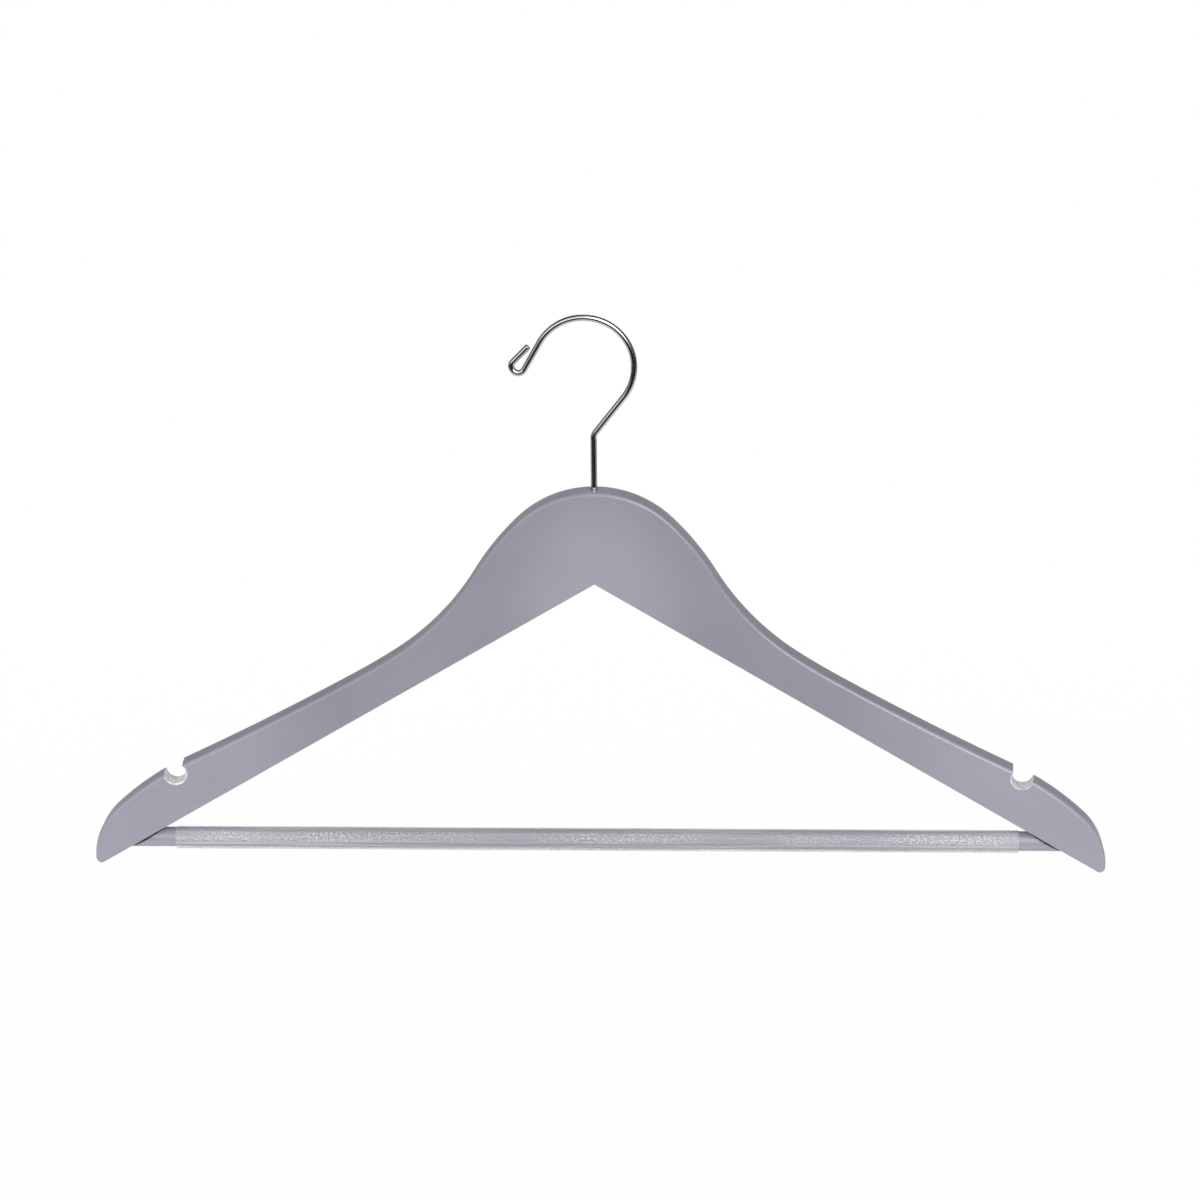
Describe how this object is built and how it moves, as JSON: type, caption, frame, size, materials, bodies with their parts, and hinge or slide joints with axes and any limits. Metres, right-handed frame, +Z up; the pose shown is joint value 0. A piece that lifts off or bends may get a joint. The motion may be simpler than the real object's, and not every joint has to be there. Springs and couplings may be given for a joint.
{
  "type": "suit hanger",
  "caption": "Flat lacquered wooden suit hanger with strap notches, a ribbed sleeve on its trouser bar and a swivelling wire hook.",
  "frame": {"origin": "the point inside the top of the hook that rests on the rail", "axes": "+X along the shoulders to the side away from the hook's mouth, -Y out of the front, +Z up"},
  "size_m": [0.4446, 0.012, 0.2477],
  "materials": {
    "left_arm_paint": "satin silver-grey lacquer over wood, raw in the strap notch",
    "right_arm_paint": "satin silver-grey lacquer over wood, raw in the strap notch",
    "bar_paint": "satin silver-grey lacquer over a wooden dowel",
    "sleeve_vinyl": "clear soft vinyl tube with fine lengthwise ribs",
    "hook_chrome": "polished nickel or chrome plating on steel wire",
    "washer_steel": "plain zinc-plated steel, hidden in the pocket",
    "bar_brad_left_steel": "plain bright steel",
    "bar_brad_right_steel": "plain bright steel"
  },
  "bodies": {
    "hook": {"hook": "hook_chrome"},
    "frame": {"left_arm": "left_arm_paint", "right_arm": "right_arm_paint", "trouser_bar": "bar_paint", "bar_sleeve": "sleeve_vinyl", "hook_washer": "washer_steel", "bar_brad_left": "bar_brad_left_steel", "bar_brad_right": "bar_brad_right_steel"}
  },
  "joints": [
    {"name": "hook_swivel", "type": "hinge", "parent": "hook", "child": "frame", "pos_m": [0.0039, 0, -0.0733], "axis": [0, 0, 1], "continuous": true}
  ]
}
